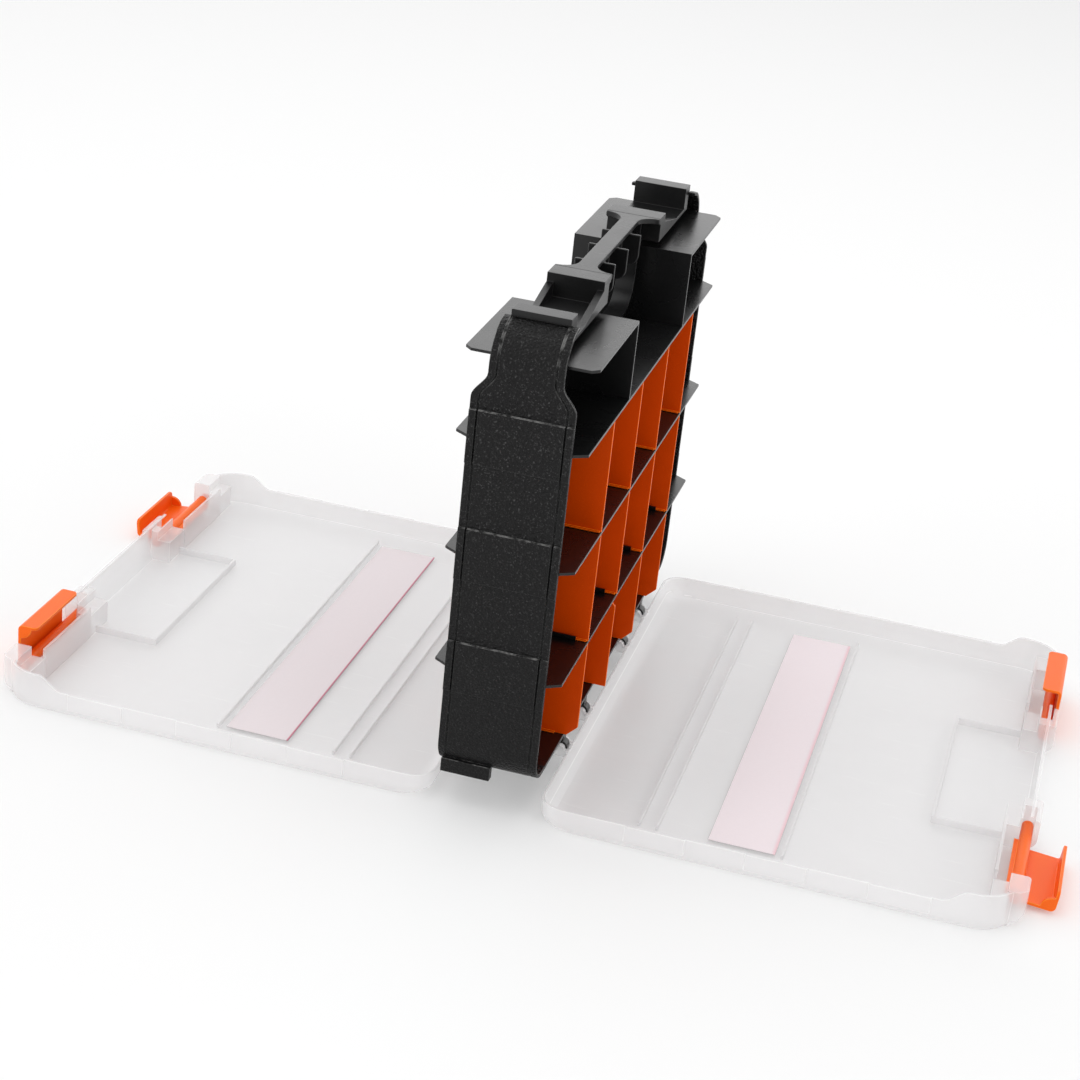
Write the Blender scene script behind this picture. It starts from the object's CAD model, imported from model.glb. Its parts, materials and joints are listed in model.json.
"""Double-sided organizer box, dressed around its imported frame.

Lengths are in metres, angles in radians and colours in linear light. The scale of a pattern
counts its repeats in a metre.
"""
import json
import logging
import math
from dataclasses import dataclass
from enum import Enum

import bmesh
import bpy
from mathutils import Matrix, Vector


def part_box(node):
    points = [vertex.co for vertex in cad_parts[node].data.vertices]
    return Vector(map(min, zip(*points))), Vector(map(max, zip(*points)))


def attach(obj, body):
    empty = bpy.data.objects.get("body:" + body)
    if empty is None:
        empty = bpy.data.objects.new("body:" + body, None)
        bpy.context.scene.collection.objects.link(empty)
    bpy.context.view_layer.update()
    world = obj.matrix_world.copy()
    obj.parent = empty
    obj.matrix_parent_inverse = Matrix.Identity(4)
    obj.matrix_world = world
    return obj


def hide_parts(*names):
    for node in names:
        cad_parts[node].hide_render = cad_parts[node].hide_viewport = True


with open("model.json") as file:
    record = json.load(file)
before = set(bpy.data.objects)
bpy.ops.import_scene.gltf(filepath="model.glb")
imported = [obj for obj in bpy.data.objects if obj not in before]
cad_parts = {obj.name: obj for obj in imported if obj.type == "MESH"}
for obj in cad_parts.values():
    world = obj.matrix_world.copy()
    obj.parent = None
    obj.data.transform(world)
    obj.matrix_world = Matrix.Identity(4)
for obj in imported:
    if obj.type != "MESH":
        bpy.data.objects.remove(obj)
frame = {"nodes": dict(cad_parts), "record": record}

LOG = logging.getLogger("organizer_box")
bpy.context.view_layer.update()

Socket = bpy.types.NodeSocket
Color = tuple[float, float, float]
Span = tuple[float, float]

MM = 0.001
MERGE = 1e-6                        # points nearer than this are one point
FLAT_ANGLE = math.radians(1.0)      # faces within this angle are one face
ROWS = 3                            # rows of cells on each face of the box
COLUMNS = 4                         # dividers in each row
EDGE_FINISH = 1                     # place of the edge's material on a piece
MIX_INPUTS = (0, 6, 7)              # share, low and high of a colour mix
MIX_RESULT = 2                      # colour that the mix puts out
UNIT = (0.0, 1.0)
WHITE = (1.0, 1.0, 1.0)


class Slot(Enum):
    """The record's material slots."""

    CORE = "core_black"
    LID = "lid_clear"
    LABEL = "label_pale"
    LATCH = "latch_orange"
    DIVIDER = "divider_orange"


class Face(Enum):
    """The two open faces of the box, with the direction of each along X."""

    RIGHT = 1
    LEFT = -1

    @property
    def side(self) -> str:
        """The face's name as the nodes spell it."""
        return self.name.lower()


class Fade(Enum):
    """How a mapped value goes from one end of its range to the other."""

    STRAIGHT = "LINEAR"
    EASED = "SMOOTHSTEP"


def node_body(name: str) -> str:
    """Find the body that carries a node.

    Args:
        name: The node's name.

    Returns:
        The body's name.
    """
    groups = frame["record"]["behaviour"]["bodies"]
    return next(body for body, members in groups.items() if name in members)


def divider_name(face: Face, row: int, column: int) -> str:
    """Name the divider at a row from the top and a place from the near side, both from 1."""
    return f"divider_{face.side}_{row}{column}"


def solid(color: Color) -> tuple[float, float, float, float]:
    """Give a colour its full alpha."""
    return (*color, 1.0)


def new_object(name: str, data: bpy.types.ID) -> bpy.types.Object:
    """Make an object and put it into the scene.

    Args:
        name: The object's name.
        data: Its mesh, lamp or camera.

    Returns:
        The new object.
    """
    obj = bpy.data.objects.new(name, data)
    bpy.context.scene.collection.objects.link(obj)
    return obj


def plain_mesh(obj: bpy.types.Object) -> bpy.types.Object:
    """Turn an object's modifiers into its own mesh.

    Args:
        obj: The object with live modifiers.

    Returns:
        The same object with a plain mesh and no modifier.
    """
    graph = bpy.context.evaluated_depsgraph_get()
    mesh = bpy.data.meshes.new_from_object(obj.evaluated_get(graph))
    old = obj.data
    obj.modifiers.clear()
    obj.data = mesh
    mesh.name = obj.name
    bpy.data.meshes.remove(old)
    return obj


class Nodes:
    """Short calls that add, fill and join the nodes of one tree."""

    def __init__(self, tree: bpy.types.NodeTree) -> None:
        """Keep the tree that the calls fill."""
        self.tree = tree

    def add(self, kind: str, **settings) -> bpy.types.Node:
        """Add a node.

        Args:
            kind: The node's type name.
            settings: Properties of the node, such as an operation.

        Returns:
            The new node.
        """
        node = self.tree.nodes.new(kind)
        for name, value in settings.items():
            setattr(node, name, value)
        return node

    def fill(self, target: Socket, value: object) -> None:
        """Link an input to a socket, or set it to a plain value.

        Args:
            target: The input.
            value: An output socket, or a number, colour or vector.
        """
        if isinstance(value, Socket):
            self.tree.links.new(value, target)
        else:
            target.default_value = value

    def feed(self, node: bpy.types.Node, **values) -> bpy.types.Node:
        """Fill a node's inputs by name.

        Args:
            node: The node whose inputs are filled.
            values: Sockets or plain values, with underscores for the spaces of a name.

        Returns:
            The same node.
        """
        for name, value in values.items():
            self.fill(node.inputs[name.replace("_", " ")], value)
        return node

    def group(self, tree: bpy.types.NodeTree, **values) -> bpy.types.Node:
        """Place a shader node group and fill its inputs."""
        return self.feed(self.add("ShaderNodeGroup", node_tree=tree), **values)

    def mix(self, low: object, high: object, share: Socket) -> Socket:
        """Blend two colours by a mask.

        Args:
            low: The colour where the mask is 0, plain or from a socket.
            high: The colour where the mask is 1, plain or from a socket.
            share: The mask.

        Returns:
            The blended colour.
        """
        node = self.add("ShaderNodeMix", data_type="RGBA")
        for place, value in zip(MIX_INPUTS, (share, low, high)):
            self.fill(node.inputs[place], value)
        return node.outputs[MIX_RESULT]

    def remap(self, value: Socket, span: Span = UNIT, onto: Span = UNIT,
              fade: Fade = Fade.STRAIGHT) -> Socket:
        """Map a value from one range onto another and hold it at both ends.

        Args:
            value: The value to map.
            span: The range that it comes from.
            onto: The range that it goes to.
            fade: How it goes from end to end.

        Returns:
            The mapped value.
        """
        node = self.add("ShaderNodeMapRange", interpolation_type=fade.value)
        self.feed(node, Value=value, From_Min=span[0], From_Max=span[1], To_Min=onto[0], To_Max=onto[1])
        return node.outputs["Result"]

    def combine(self, operation: str, first: object, second: object) -> Socket:
        """Combine two values by a math operation.

        Args:
            operation: The operation's name.
            first: A socket or a number.
            second: A socket or a number.

        Returns:
            The result.
        """
        node = self.add("ShaderNodeMath", operation=operation)
        for target, value in zip(node.inputs, (first, second)):
            self.fill(target, value)
        return node.outputs[0]

    def axis(self, vector: Socket, letter: str) -> Socket:
        """Split a vector and return the socket of one of its axes."""
        return self.feed(self.add("ShaderNodeSeparateXYZ"), Vector=vector).outputs[letter]

    def noise(self, place: Socket, scale: object, **settings) -> Socket:
        """Add a noise pattern.

        Args:
            place: The point where it is read.
            scale: Its scale, a socket or a number.
            settings: Its other inputs, such as Detail.

        Returns:
            The pattern's value.
        """
        node = self.add("ShaderNodeTexNoise")
        return self.feed(node, Vector=place, Scale=scale, **settings).outputs[0]

    def bump(self, height: Socket, depth: float) -> Socket:
        """Turn a pattern of heights into normals and return their socket."""
        return self.feed(self.add("ShaderNodeBump"), Height=height, Distance=depth).outputs[0]


def new_group(name: str, inputs: dict, outputs: tuple) -> tuple[Nodes, bpy.types.Node, bpy.types.Node]:
    """Make an empty shader node group with named sockets.

    Args:
        name: The group's name.
        inputs: Socket names with their default values; None is a vector.
        outputs: Names of the value outputs.

    Returns:
        The helper for its tree, its input node and its output node.
    """
    tree = bpy.data.node_groups.new(name, "ShaderNodeTree")
    for label, default in inputs.items():
        kind = "NodeSocketVector" if default is None else "NodeSocketFloat"
        socket = tree.interface.new_socket(label, in_out="INPUT", socket_type=kind)
        if default is not None:
            socket.default_value = default
    for label in outputs:
        tree.interface.new_socket(label, in_out="OUTPUT", socket_type="NodeSocketFloat")
    nodes = Nodes(tree)
    return nodes, nodes.add("NodeGroupInput"), nodes.add("NodeGroupOutput")


def new_material(name: str) -> tuple[bpy.types.Material, Nodes, bpy.types.Node]:
    """Make a material with nodes.

    Args:
        name: The material's name.

    Returns:
        The material, the helper for its tree and its Principled BSDF.
    """
    material = bpy.data.materials.new(name)
    material.use_nodes = True
    tree = material.node_tree
    return material, Nodes(tree), tree.nodes["Principled BSDF"]


@dataclass(frozen=True)
class MouldedGrain:
    """The shared group for the fine pebble grain of a moulded wall.

    Attributes:
        scale: The pebbles' scale where a material gives none.
        finer: How much finer the ripple between the pebbles is.
        detail: The ripple's detail.
        rough: The ripple's roughness.
        pebbles: The pebbles' share of the height; below 0 they stand up.
        ripple: The ripple's share of the height.
        speckle: The ripple's values where a speckle starts and is full.
    """

    scale: float = 1400.0
    finer: float = 1.5
    detail: float = 2.0
    rough: float = 0.6
    pebbles: float = -0.7
    ripple: float = 0.6
    speckle: Span = (0.58, 0.74)

    def build(self) -> bpy.types.NodeTree:
        """Build the group.

        Returns:
            The group, with a height and a speckle mask.
        """
        nodes, source, result = new_group("moulded_grain", {"Vector": None, "Scale": self.scale},
                                          ("Height", "Speckle"))
        place = source.outputs["Vector"]
        scale = source.outputs["Scale"]
        cells = nodes.feed(nodes.add("ShaderNodeTexVoronoi", feature="F1"), Vector=place, Scale=scale)
        ripple = nodes.noise(place, nodes.combine("MULTIPLY", scale, self.finer),
                             Detail=self.detail, Roughness=self.rough)
        height = nodes.combine("ADD", nodes.combine("MULTIPLY", cells.outputs["Distance"], self.pebbles),
                               nodes.combine("MULTIPLY", ripple, self.ripple))
        nodes.feed(result, Height=height, Speckle=nodes.remap(ripple, self.speckle))
        return nodes.tree


@dataclass(frozen=True)
class HandlingMarks:
    """The shared group for soft smudges and fine scratches from handling.

    Attributes:
        scale: The smudges' scale where a material gives none.
        scratch_scale: The scratches' scale where a material gives none.
        smudge_detail: The smudges' detail.
        smudge_drift: How far the smudges are pulled out of shape.
        scratch_turn: The direction that the scratches run in.
        scratch_stretch: How much closer they lie along each of their axes.
        scratch_detail: Their detail.
        scratch_share: The values of their pattern where a scratch starts and is full.
    """

    scale: float = 28.0
    scratch_scale: float = 60.0
    smudge_detail: float = 4.0
    smudge_drift: float = 0.4
    scratch_turn: tuple[float, float, float] = (0.3, 0.5, 0.7)
    scratch_stretch: tuple[float, float, float] = (1.0, 14.0, 1.0)
    scratch_detail: float = 3.0
    scratch_share: Span = (0.66, 0.74)

    def build(self) -> bpy.types.NodeTree:
        """Build the group.

        Returns:
            The group, with a smudge mask and a scratch mask.
        """
        sizes = {"Vector": None, "Scale": self.scale, "Scratch Scale": self.scratch_scale}
        nodes, source, result = new_group("handling_marks", sizes, ("Smudge", "Scratch"))
        place = source.outputs["Vector"]
        smudge = nodes.noise(place, source.outputs["Scale"], Detail=self.smudge_detail,
                             Distortion=self.smudge_drift)
        along = nodes.feed(nodes.add("ShaderNodeMapping"), Vector=place, Rotation=self.scratch_turn,
                           Scale=self.scratch_stretch)
        lines = nodes.noise(along.outputs[0], source.outputs["Scratch Scale"], Detail=self.scratch_detail)
        nodes.feed(result, Smudge=smudge, Scratch=nodes.remap(lines, self.scratch_share))
        return nodes.tree


class Groups:
    """The shared effects, each built once."""

    def __init__(self) -> None:
        """Build both node groups."""
        self.grain = MouldedGrain().build()
        self.marks = HandlingMarks().build()


@dataclass(frozen=True)
class Moulding:
    """One opaque moulded plastic with its grain, smudges and worn edges.

    Attributes:
        name: The material's name.
        color: The colour of smudged places, or of worn ones where it wears on top.
        shade: The colour of the other places.
        rough: The least and the most roughness.
        grain_scale: The grain's scale.
        grain_depth: How deep the grain's bump is.
        specular: The level of its plain reflection.
        smudge_scale: The smudges' scale.
        speckle: How strongly light speckles show in the grain.
        speckle_gain: How many times lighter than the colour a speckle is.
        spark: What a speckle adds to that.
        scratch_gloss: How much roughness a scratch takes away.
        worn_on_top: Whether the colour is wear, which only shows where the surface faces up.
        worn_facing: The upward share of the normal where wear starts and is full.
        worn_patches: The smudge mask's values where a patch of wear starts and is full.
        smooth_from: The height above the floor up to which speckles are weakest.
        smooth_to: The height where they are full; 0 where they are full all over.
        smooth_least: Their strength where they are weakest.
    """

    name: str
    color: Color
    shade: Color
    rough: Span
    grain_scale: float
    grain_depth: float
    specular: float
    smudge_scale: float = 28.0
    speckle: float = 0.35
    speckle_gain: float = 1.6
    spark: float = 0.004
    scratch_gloss: float = 0.08
    worn_on_top: bool = False
    worn_facing: Span = (0.15, 0.6)
    worn_patches: Span = (0.4, 0.62)
    smooth_from: float = 0.03
    smooth_to: float = 0.0
    smooth_least: float = 0.3

    def wear(self, nodes: Nodes, normal: Socket, smudge: Socket) -> Socket:
        """Keep the wear to the edges that face up, in irregular patches.

        Args:
            nodes: The helper for the material's tree.
            normal: The surface's direction.
            smudge: The smudge mask.

        Returns:
            The mask of the wear.
        """
        upward = nodes.remap(nodes.axis(normal, "Z"), self.worn_facing)
        patches = nodes.remap(smudge, self.worn_patches)
        return nodes.combine("MULTIPLY", upward, patches)

    def speckles(self, nodes: Nodes, place: Socket, mask: Socket) -> Socket:
        """Set how strongly the speckles show, less so low down where the finish is smoother.

        Args:
            nodes: The helper for the material's tree.
            place: The point on the surface.
            mask: The grain's speckle mask.

        Returns:
            The mask of the speckles.
        """
        speckles = nodes.combine("MULTIPLY", mask, self.speckle)
        if self.smooth_to:
            rising = nodes.remap(nodes.axis(place, "Z"), (self.smooth_from, self.smooth_to),
                                 (self.smooth_least, 1.0))
            speckles = nodes.combine("MULTIPLY", speckles, rising)
        return speckles

    def make(self, groups: Groups) -> bpy.types.Material:
        """Build the material.

        Args:
            groups: The shared node groups.

        Returns:
            The finished material.
        """
        material, nodes, skin = new_material(self.name)
        places = nodes.add("ShaderNodeTexCoord").outputs
        place = places["Object"]
        grain = nodes.group(groups.grain, Vector=place, Scale=self.grain_scale).outputs
        marks = nodes.group(groups.marks, Vector=place, Scale=self.smudge_scale).outputs
        mask = marks["Smudge"]
        if self.worn_on_top:
            mask = self.wear(nodes, places["Normal"], mask)
        base = nodes.mix(solid(self.shade), solid(self.color), mask)
        light = tuple(min(1.0, c * self.speckle_gain + self.spark) for c in self.color)
        color = nodes.mix(base, solid(light), self.speckles(nodes, place, grain["Speckle"]))
        scratch = nodes.combine("MULTIPLY", marks["Scratch"], -self.scratch_gloss)
        rough = nodes.combine("ADD", nodes.remap(marks["Smudge"], onto=self.rough), scratch)
        nodes.feed(skin, Base_Color=color, Roughness=rough, Specular_IOR_Level=self.specular,
                   Normal=nodes.bump(grain["Height"], self.grain_depth))
        material.diffuse_color = solid(self.color)
        return material


@dataclass(frozen=True)
class FrostedPlastic:
    """The milky clear plastic of the lids.

    Attributes:
        name: The material's name.
        color: The colour of smudged places.
        shade: The colour of the other places.
        cover: The least and the most cover over what lies behind.
        rough: The least and the most roughness.
        smudge_scale: The smudges' scale.
        scratch_scale: The scratches' scale.
        scratch: How much cover a scratch adds.
        grain_scale: The grain's scale.
        grain_depth: How deep the grain's bump is.
        bending: The plastic's index of refraction.
    """

    name: str
    color: Color = (0.905, 0.894, 0.9)
    shade: Color = (0.875, 0.864, 0.87)
    cover: Span = (0.38, 0.42)
    rough: Span = (0.28, 0.36)
    smudge_scale: float = 11.0
    scratch_scale: float = 35.0
    scratch: float = 0.02
    grain_scale: float = 900.0
    grain_depth: float = 0.02 * MM
    bending: float = 1.49

    def make(self, groups: Groups) -> bpy.types.Material:
        """Build the material.

        Args:
            groups: The shared node groups.

        Returns:
            The finished material.
        """
        material, nodes, skin = new_material(self.name)
        place = nodes.add("ShaderNodeTexCoord").outputs["Object"]
        marks = nodes.group(groups.marks, Vector=place, Scale=self.smudge_scale,
                            Scratch_Scale=self.scratch_scale).outputs
        grain = nodes.group(groups.grain, Vector=place, Scale=self.grain_scale).outputs
        color = nodes.mix(solid(self.shade), solid(self.color), marks["Smudge"])
        cover = nodes.combine("ADD", nodes.remap(marks["Smudge"], onto=self.cover),
                              nodes.combine("MULTIPLY", marks["Scratch"], self.scratch))
        nodes.feed(skin, Base_Color=color, Alpha=cover, IOR=self.bending,
                   Roughness=nodes.remap(marks["Smudge"], onto=self.rough),
                   Normal=nodes.bump(grain["Height"], self.grain_depth))
        material.diffuse_color = (*self.color, self.cover[1])
        return material


@dataclass(frozen=True)
class Paper:
    """The pale strip inside a lid, tinted along one of its long edges.

    Attributes:
        face: The face whose lid holds the strip.
        color: The paper's colour.
        tint: The colour of its tinted edge.
        tint_span: Where the tint starts and is full, from 0 at the middle to 1 at the edge.
        fibre_scale: The fibres' scale.
        fibre_detail: Their detail.
        fibre_shade: How much of the paper's colour is left between them.
        fibre_depth: How deep their bump is.
        rough: The least and the most roughness.
    """

    face: Face
    color: Color
    tint: Color
    tint_span: Span
    fibre_scale: float = 700.0
    fibre_detail: float = 4.0
    fibre_shade: float = 0.96
    fibre_depth: float = 0.02 * MM
    rough: Span = (0.5, 0.62)

    def make(self, groups: Groups) -> bpy.types.Material:
        """Build the material.

        Args:
            groups: The shared node groups.

        Returns:
            The finished material.
        """
        material, nodes, skin = new_material(f"label_paper_{self.face.side}")
        place = nodes.add("ShaderNodeTexCoord").outputs["Object"]
        low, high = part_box(f"label_{self.face.side}")
        middle = (low.x + high.x) / 2
        half = (high.x - low.x) / 2
        across = nodes.combine("DIVIDE", nodes.combine("SUBTRACT", nodes.axis(place, "X"), middle), half)
        edge = nodes.remap(across, self.tint_span, fade=Fade.EASED)
        fibre = nodes.noise(place, self.fibre_scale, Detail=self.fibre_detail)
        between = tuple(c * self.fibre_shade for c in self.color)
        paper = nodes.mix(solid(between), solid(self.color), fibre)
        marks = nodes.group(groups.marks, Vector=place).outputs
        nodes.feed(skin, Base_Color=nodes.mix(paper, solid(self.tint), edge),
                   Roughness=nodes.remap(marks["Smudge"], onto=self.rough),
                   Normal=nodes.bump(fibre, self.fibre_depth))
        return material


GRAINED_BLACK = Moulding(
    "grained_black", color=(0.0046, 0.0045, 0.0046), shade=(0.0028, 0.0027, 0.0028),
    rough=(0.33, 0.45), grain_scale=640.0, grain_depth=1.1 * MM, specular=0.2,
    speckle=0.85, spark=0.065, smooth_to=0.21)
WORN_BAND_EDGE = Moulding(
    "worn_band_edge", color=(0.18, 0.178, 0.175), shade=(0.006, 0.006, 0.006),
    rough=(0.3, 0.42), grain_scale=1100.0, grain_depth=0.05 * MM, specular=0.3,
    smudge_scale=260.0, worn_on_top=True)
SATIN_BLACK = Moulding(
    "satin_black", color=(0.0055, 0.0055, 0.0057), shade=(0.0038, 0.0038, 0.004),
    rough=(0.22, 0.34), grain_scale=1900.0, grain_depth=0.03 * MM, specular=0.4)
HANDLE_BLACK = Moulding(
    "handle_black", color=(0.0066, 0.0066, 0.0068), shade=(0.0045, 0.0045, 0.0047),
    rough=(0.25, 0.36), grain_scale=1500.0, grain_depth=0.05 * MM, specular=0.36)
WORN_BLACK_EDGE = Moulding(
    "worn_black_edge", color=(0.016, 0.016, 0.0162), shade=(0.008, 0.008, 0.0082),
    rough=(0.26, 0.36), grain_scale=1700.0, grain_depth=0.02 * MM, specular=0.36)
LATCH_ORANGE = Moulding(
    "latch_orange", color=(0.96, 0.15, 0.006), shade=(0.92, 0.12, 0.003),
    rough=(0.32, 0.44), grain_scale=1300.0, grain_depth=0.02 * MM, specular=0.2, spark=0.0)
LATCH_ORANGE_EDGE = Moulding(
    "latch_orange_edge", color=(0.98, 0.25, 0.025), shade=(0.96, 0.2, 0.015),
    rough=(0.3, 0.4), grain_scale=1300.0, grain_depth=0.01 * MM, specular=0.25, spark=0.0)
DIVIDER_ORANGE = Moulding(
    "divider_orange", color=(0.78, 0.07, 0.0), shade=(0.64, 0.052, 0.0),
    rough=(0.34, 0.46), grain_scale=1300.0, grain_depth=0.03 * MM, specular=0.08, spark=0.0)
DIVIDER_ORANGE_EDGE = Moulding(
    "divider_orange_edge", color=(0.92, 0.215, 0.006), shade=(0.86, 0.165, 0.003),
    rough=(0.34, 0.44), grain_scale=1300.0, grain_depth=0.01 * MM, specular=0.16, spark=0.0)
FROSTED_CLEAR = FrostedPlastic("frosted_clear")
FROSTED_CLEAR_EDGE = FrostedPlastic(
    "frosted_clear_edge", color=(0.9, 0.89, 0.895), shade=(0.86, 0.85, 0.855),
    cover=(0.52, 0.58), rough=(0.18, 0.26))
LABEL_PAPERS = (
    Paper(Face.RIGHT, color=(0.90, 0.80, 0.83), tint=(0.88, 0.60, 0.65), tint_span=(0.86, 1.0)),
    Paper(Face.LEFT, color=(0.80, 0.725, 0.745), tint=(0.55, 0.14, 0.22), tint_span=(0.93, 0.985)),
)


class Palette:
    """Every finish of the box, made once."""

    def __init__(self) -> None:
        """Build the shared groups and all materials."""
        groups = Groups()
        self.wall = GRAINED_BLACK.make(groups)
        self.band = WORN_BAND_EDGE.make(groups)
        self.satin = SATIN_BLACK.make(groups)
        self.grip = HANDLE_BLACK.make(groups)
        self.rim = WORN_BLACK_EDGE.make(groups)
        self.latch = LATCH_ORANGE.make(groups)
        self.latch_edge = LATCH_ORANGE_EDGE.make(groups)
        self.divider = DIVIDER_ORANGE.make(groups)
        self.divider_edge = DIVIDER_ORANGE_EDGE.make(groups)
        self.clear = FROSTED_CLEAR.make(groups)
        self.clear_edge = FROSTED_CLEAR_EDGE.make(groups)
        self.labels = {paper.face: paper.make(groups) for paper in LABEL_PAPERS}


@dataclass
class Skin:
    """A softened copy of a CAD node: merged, with rounded edges and its own finish.

    Attributes:
        node: The node that it stands for.
        finish: The material of its faces.
        edge: The material of its rounded edges.
        slot: The record's slot that it takes its finish from.
        width: The width of its rounded edges.
        segments: The steps across a rounded edge.
        angle: The least angle between two faces that makes an edge.
    """

    node: str
    finish: bpy.types.Material
    edge: bpy.types.Material
    slot: Slot
    width: float
    segments: int = 2
    angle: float = math.radians(34)

    def merged(self) -> bpy.types.Mesh:
        """Copy the node's mesh with its loose triangles joined to whole faces.

        Returns:
            The new mesh.
        """
        source = frame["nodes"][self.node].data
        mesh = bpy.data.meshes.new(f"{self.node}_skin")
        points = [v.co.copy() for v in source.vertices]
        mesh.from_pydata(points, [], [tuple(f.vertices) for f in source.polygons])
        work = bmesh.new()
        work.from_mesh(mesh)
        bmesh.ops.remove_doubles(work, verts=work.verts, dist=MERGE)
        bmesh.ops.dissolve_degenerate(work, edges=work.edges, dist=MERGE)
        bmesh.ops.dissolve_limit(work, angle_limit=FLAT_ANGLE, verts=work.verts, edges=work.edges)
        work.to_mesh(mesh)
        work.free()
        return mesh

    def build(self) -> bpy.types.Object:
        """Make the piece, round its edges and let it stand for the node.

        Returns:
            The finished piece.
        """
        piece = new_object(f"{self.node}_skin", self.merged())
        piece.data.materials.append(self.finish)
        piece.data.materials.append(self.edge)
        bevel = piece.modifiers.new("edges", "BEVEL")
        bevel.width = self.width
        bevel.segments = self.segments
        bevel.limit_method = "ANGLE"
        bevel.angle_limit = self.angle
        bevel.use_clamp_overlap = False
        bevel.material = EDGE_FINISH
        bevel.miter_outer = "MITER_ARC"
        plain_mesh(piece)
        piece.data.polygons.foreach_set("use_smooth", [True] * len(piece.data.polygons))
        weighted = piece.modifiers.new("normals", "WEIGHTED_NORMAL")
        weighted.keep_sharp = True
        plain_mesh(piece)
        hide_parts(self.node)
        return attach(piece, node_body(self.node))


@dataclass
class Core:
    """The black core: walls, shelves, ear boxes, catches, hooks and handle.

    Attributes:
        palette: The finishes.
        wall_edge: The rounding of the side walls.
        thin_edge: The rounding of the web, the shelves, the ear boxes and the handle's lining.
        grip_edge: The rounding of the handle.
        catch_edge: The rounding of the catches, small enough to leave the latches room.
        hook_edge: The rounding of the hinge hooks.
    """

    palette: Palette
    wall_edge: float = 0.4 * MM
    thin_edge: float = 0.22 * MM
    grip_edge: float = 0.5 * MM
    catch_edge: float = 0.25 * MM
    hook_edge: float = 0.25 * MM

    def build(self) -> list[bpy.types.Object]:
        """Dress every node of the core but the guides.

        Returns:
            The pieces.
        """
        look = self.palette
        dresses = (
            (("side_wall_near", "side_wall_far"), look.wall, look.band, self.wall_edge),
            (("centre_web", "bottom_wall", "shelf_lower", "shelf_middle", "shelf_upper",
              "ear_near", "ear_far", "handle_lining"), look.satin, look.rim, self.thin_edge),
            (("handle_grip",), look.grip, look.rim, self.grip_edge),
            (("catch_near", "catch_far"), look.grip, look.rim, self.catch_edge),
            (("hinge_hooks_right", "hinge_hooks_left"), look.satin, look.rim, self.hook_edge),
        )
        return [Skin(name, finish, edge, Slot.CORE, width).build()
                for names, finish, edge, width in dresses for name in names]


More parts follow.
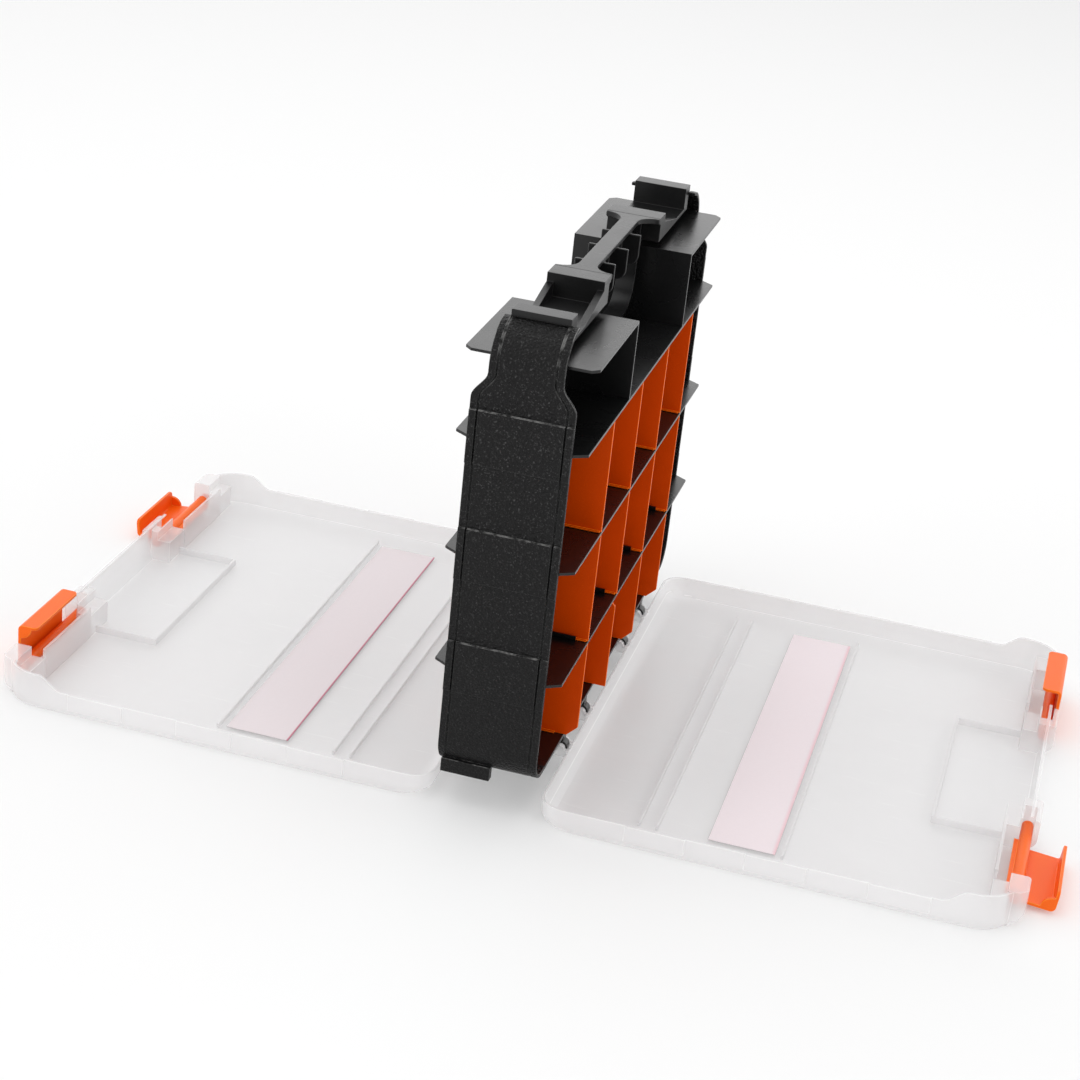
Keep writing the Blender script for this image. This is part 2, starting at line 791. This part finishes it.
@dataclass
class GuideRibs:
    """Low ribs that hold the dividers' feet, laid out by geometry nodes.

    Attributes:
        palette: The finishes.
        thickness: A rib's thickness.
        height: A rib's height.
        round: The radius of its long edges.
        round_steps: The points on each of those edges.
        beside: From a divider's middle to a rib's.
        foot_gap: From a cell's floor up to a divider's foot.
        lengths: The ribs' lengths in each row, from the lowest.
    """

    palette: Palette
    thickness: float = 1.2 * MM
    height: float = 3.0 * MM
    round: float = 0.4 * MM
    round_steps: int = 3
    beside: float = 3.25 * MM
    foot_gap: float = 0.25 * MM
    lengths: tuple[float, ...] = (10.0 * MM, 28.0 * MM, 10.0 * MM)

    def starts(self) -> tuple[list[Vector], list[float]]:
        """Work out where each rib starts on the web and how far it reaches.

        Returns:
            The start points and the lengths, which are below 0 on the left face.
        """
        points, reaches = [], []
        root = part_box("centre_web")[1].x
        for row, length in enumerate(self.lengths):
            for column in range(COLUMNS):
                low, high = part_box(divider_name(Face.RIGHT, ROWS - row, column + 1))
                middle = (low.y + high.y) / 2
                floor = low.z - self.foot_gap
                for face in Face:
                    for side in (-1, 1):
                        points.append(Vector((face.value * root, middle + side * self.beside, floor)))
                        reaches.append(face.value * length)
        return points, reaches

    def tree(self) -> bpy.types.NodeTree:
        """Build the node tree: a rounded bar set on every point.

        Returns:
            The geometry node tree.
        """
        tree = bpy.data.node_groups.new("guide_ribs", "GeometryNodeTree")
        sockets = tree.interface
        sockets.new_socket("Geometry", in_out="INPUT", socket_type="NodeSocketGeometry")
        for label in ("Thickness", "Height", "Round"):
            sockets.new_socket(label, in_out="INPUT", socket_type="NodeSocketFloat")
        sockets.new_socket("Finish", in_out="INPUT", socket_type="NodeSocketMaterial")
        sockets.new_socket("Geometry", in_out="OUTPUT", socket_type="NodeSocketGeometry")
        nodes = Nodes(tree)
        source = nodes.add("NodeGroupInput").outputs
        profile = nodes.feed(nodes.add("GeometryNodeCurvePrimitiveQuadrilateral"),
                             Width=source["Thickness"], Height=source["Height"])
        rounded = nodes.feed(nodes.add("GeometryNodeFilletCurve", mode="POLY"),
                             Curve=profile.outputs[0], Radius=source["Round"], Count=self.round_steps)
        path = nodes.feed(nodes.add("GeometryNodeCurvePrimitiveLine"), Start=(0, 0, 0), End=(1, 0, 0))
        bar = nodes.feed(nodes.add("GeometryNodeCurveToMesh"), Curve=path.outputs[0],
                         Profile_Curve=rounded.outputs[0], Fill_Caps=True)
        reach = nodes.feed(nodes.add("GeometryNodeInputNamedAttribute", data_type="FLOAT"), Name="reach")
        size = nodes.feed(nodes.add("ShaderNodeCombineXYZ"), X=reach.outputs[0], Y=1.0, Z=1.0)
        points = nodes.feed(nodes.add("GeometryNodeMeshToPoints"), Mesh=source["Geometry"])
        rows = nodes.feed(nodes.add("GeometryNodeInstanceOnPoints"), Points=points.outputs[0],
                          Instance=bar.outputs[0], Scale=size.outputs[0])
        real = nodes.feed(nodes.add("GeometryNodeRealizeInstances"), Geometry=rows.outputs[0])
        dressed = nodes.feed(nodes.add("GeometryNodeSetMaterial"), Geometry=real.outputs[0],
                             Material=source["Finish"])
        nodes.feed(nodes.add("NodeGroupOutput"), Geometry=dressed.outputs[0])
        return tree

    def build(self) -> bpy.types.Object:
        """Make the ribs and let them stand for the CAD guides.

        Returns:
            The finished piece.
        """
        points, reaches = self.starts()
        lift = Vector((0, 0, self.height / 2))
        mesh = bpy.data.meshes.new("divider_guide_ribs")
        mesh.from_pydata([p + lift for p in points], [], [])
        layer = mesh.attributes.new("reach", "FLOAT", "POINT")
        layer.data.foreach_set("value", reaches)
        piece = new_object("divider_guide_ribs", mesh)
        modifier = piece.modifiers.new("ribs", "NODES")
        modifier.node_group = self.tree()
        values = {"Thickness": self.thickness, "Height": self.height, "Round": self.round,
                  "Finish": self.palette.satin}
        for item in modifier.node_group.interface.items_tree:
            if item.in_out == "INPUT" and item.name in values:
                modifier[item.identifier] = values[item.name]
        plain_mesh(piece)
        work = bmesh.new()
        work.from_mesh(piece.data)
        bmesh.ops.recalc_face_normals(work, faces=work.faces)
        work.to_mesh(piece.data)
        work.free()
        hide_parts("divider_guides")
        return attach(piece, "core")


@dataclass
class Lid:
    """One clear lid with its ribs and its label, whose CAD strip only takes a new material."""

    palette: Palette
    face: Face
    edge: float = 0.35 * MM

    def build(self) -> list[bpy.types.Object]:
        """Dress the lid, its ribs and its label.

        Returns:
            The pieces of the lid and its ribs.
        """
        side = self.face.side
        look = self.palette
        pieces = [Skin(name, look.clear, edge, Slot.LID, self.edge).build()
                  for name, edge in ((f"lid_{side}", look.clear_edge), (f"lid_ribs_{side}", look.clear))]
        label = frame["nodes"][f"label_{side}"]
        label.data.materials.clear()
        label.data.materials.append(look.labels[self.face])
        return pieces


@dataclass
class Latches:
    """The four orange latches."""

    palette: Palette
    edge: float = 0.35 * MM

    def build(self) -> list[bpy.types.Object]:
        """Dress the latches.

        Returns:
            The pieces.
        """
        look = self.palette
        names = [f"latch_{face.side}_{end}" for face in Face for end in ("near", "far")]
        return [Skin(name, look.latch, look.latch_edge, Slot.LATCH, self.edge).build() for name in names]


@dataclass
class Dividers:
    """The twenty-four orange dividers."""

    palette: Palette
    edge: float = 0.22 * MM

    def build(self) -> list[bpy.types.Object]:
        """Dress the dividers.

        Returns:
            The pieces.
        """
        look = self.palette
        names = [divider_name(face, row + 1, column + 1)
                 for face in Face for row in range(ROWS) for column in range(COLUMNS)]
        return [Skin(name, look.divider, look.divider_edge, Slot.DIVIDER, self.edge).build()
                for name in names]


@dataclass(frozen=True)
class SoftBox:
    """One large soft lamp that faces a point; its power is in watts."""

    name: str
    place: tuple[float, float, float]
    size: Span
    power: float
    aim: tuple[float, float, float] = (0.0, 0.0, 0.1)

    def build(self) -> bpy.types.Object:
        """Make the lamp.

        Returns:
            The lamp's object.
        """
        light = bpy.data.lights.new(self.name, "AREA")
        light.shape = "RECTANGLE"
        light.size, light.size_y = self.size
        light.energy = self.power
        lamp = new_object(self.name, light)
        place = Vector(self.place)
        turn = (Vector(self.aim) - place).to_track_quat("-Z", "Y").to_matrix().to_4x4()
        lamp.matrix_world = Matrix.Translation(place) @ turn
        return lamp


@dataclass(frozen=True)
class Studio:
    """Pale floor with a weak glow, soft lamps, and a sky that is bright low down and at the back.

    Attributes:
        floor_half: Half the floor's side.
        floor_drop: How far the floor lies below the box.
        floor_color: The floor's colour.
        floor_rough: Its roughness.
        floor_specular: The level of its plain reflection.
        floor_glow: The light that it gives by itself.
        horizon: The sky's strength low down.
        zenith: Its strength overhead.
        fade_span: The heights of the view, up to 1, between which it changes.
        front: What its strength is multiplied by on the near side.
        back: What its strength is multiplied by on the far side.
        lamps: The lamps.
    """

    floor_half: float = 8.0
    floor_drop: float = 0.2 * MM
    floor_color: Color = (0.69, 0.69, 0.69)
    floor_rough: float = 0.8
    floor_specular: float = 0.1
    floor_glow: float = 0.22
    horizon: float = 1.42
    zenith: float = 0.3
    fade_span: Span = (0.42, 0.77)
    front: float = 0.72
    back: float = 1.28
    lamps: tuple[SoftBox, ...] = (
        SoftBox("overhead", place=(-0.2, 0.2, 2.6), size=(3.4, 3.4), power=42.0),
        SoftBox("left_front", place=(-2.0, -1.9, 1.3), size=(1.4, 1.4), power=8.0),
        SoftBox("right_front", place=(2.3, -1.5, 1.5), size=(1.4, 1.4), power=7.0),
    )

    def floor(self) -> bpy.types.Object:
        """Make the floor.

        Returns:
            The floor's object.
        """
        half, level = self.floor_half, -self.floor_drop
        corners = [(x, y, level) for x, y in ((-half, -half), (half, -half), (half, half), (-half, half))]
        mesh = bpy.data.meshes.new("floor")
        mesh.from_pydata(corners, [], [(0, 1, 2, 3)])
        floor = new_object("floor", mesh)
        material, nodes, skin = new_material("floor_paper")
        nodes.feed(skin, Base_Color=solid(self.floor_color), Roughness=self.floor_rough,
                   Specular_IOR_Level=self.floor_specular, Emission_Color=solid(WHITE),
                   Emission_Strength=self.floor_glow)
        mesh.materials.append(material)
        return floor

    def sky(self) -> bpy.types.World:
        """Make the sky, which fades towards its zenith and is stronger at the back.

        Returns:
            The world.
        """
        world = bpy.data.worlds.new("studio_sky")
        world.use_nodes = True
        nodes = Nodes(world.node_tree)
        toward = nodes.add("ShaderNodeTexCoord").outputs["Generated"]
        fade = nodes.remap(nodes.axis(toward, "Z"), self.fade_span, (self.horizon, self.zenith), Fade.EASED)
        turn = nodes.remap(nodes.axis(toward, "Y"), (-1.0, 1.0), (self.front, self.back))
        strength = nodes.combine("MULTIPLY", fade, turn)
        nodes.feed(world.node_tree.nodes["Background"], Color=solid(WHITE), Strength=strength)
        return world

    def build(self) -> None:
        """Set up floor, sky and lamps."""
        self.floor()
        scene = bpy.context.scene
        scene.world = self.sky()
        scene.view_settings.view_transform = "Standard"
        for lamp in self.lamps:
            lamp.build()


@dataclass(frozen=True)
class PhotoCamera:
    """The camera of the photograph, solved from the box's own edges.

    Attributes:
        place: Where it stands.
        azimuth: The direction that it looks in, from X towards Y.
        elevation: How far it looks up; below 0 it looks down.
        roll: How far it is turned about its own view.
        focal_px: Its focal length in pixels of the photograph.
        centre_px: The photograph's optical centre.
        frame_px: The photograph's width.
        sensor_mm: The sensor's width in millimetres.
        clip: The nearest and farthest distance that it sees.
    """

    place: tuple[float, float, float] = (0.264492, -1.220898, 0.671572)
    azimuth: float = 1.800
    elevation: float = -0.432
    roll: float = 0.110
    focal_px: float = 2323.298
    centre_px: Span = (540.529, 541.565)
    frame_px: float = 1080.0
    sensor_mm: float = 36.0
    clip: Span = (0.05, 20.0)

    def build(self) -> bpy.types.Object:
        """Make the camera and set it as the scene's own.

        Returns:
            The camera object.
        """
        look = Vector((math.cos(self.elevation) * math.cos(self.azimuth),
                       math.cos(self.elevation) * math.sin(self.azimuth),
                       math.sin(self.elevation)))
        side = look.cross(Vector((0, 0, 1))).normalized()
        over = side.cross(look)
        right = math.cos(self.roll) * side + math.sin(self.roll) * over
        up = math.cos(self.roll) * over - math.sin(self.roll) * side
        data = bpy.data.cameras.new("photo_camera")
        data.sensor_fit = "HORIZONTAL"
        data.sensor_width = self.sensor_mm
        data.lens = self.focal_px / self.frame_px * self.sensor_mm
        half = self.frame_px / 2
        data.shift_x = (half - self.centre_px[0]) / self.frame_px
        data.shift_y = (self.centre_px[1] - half) / self.frame_px
        data.clip_start, data.clip_end = self.clip
        turn = Matrix((right, up, -look)).transposed().to_4x4()
        camera = new_object("photo_camera", data)
        camera.matrix_world = Matrix.Translation(Vector(self.place)) @ turn
        bpy.context.scene.camera = camera
        return camera


def main() -> None:
    """Build every part of the scene in order and report each one."""
    camera = PhotoCamera().build()
    LOG.info("camera %s with a lens of %.1f mm", camera.name, camera.data.lens)
    Studio().build()
    LOG.info("studio floor, sky and lamps")
    palette = Palette()
    LOG.info("palette with %d materials", len(bpy.data.materials))
    for piece in Core(palette).build():
        LOG.info("core piece %s with %d faces", piece.name, len(piece.data.polygons))
    ribs = GuideRibs(palette).build()
    LOG.info("guides %s with %d faces", ribs.name, len(ribs.data.polygons))
    for face in Face:
        for piece in Lid(palette, face).build():
            LOG.info("lid piece %s with %d faces", piece.name, len(piece.data.polygons))
    for piece in Latches(palette).build() + Dividers(palette).build():
        LOG.info("orange piece %s with %d faces", piece.name, len(piece.data.polygons))


if __name__ == "__main__":
    logging.basicConfig(level=logging.INFO, format="%(name)s: %(message)s")
    main()
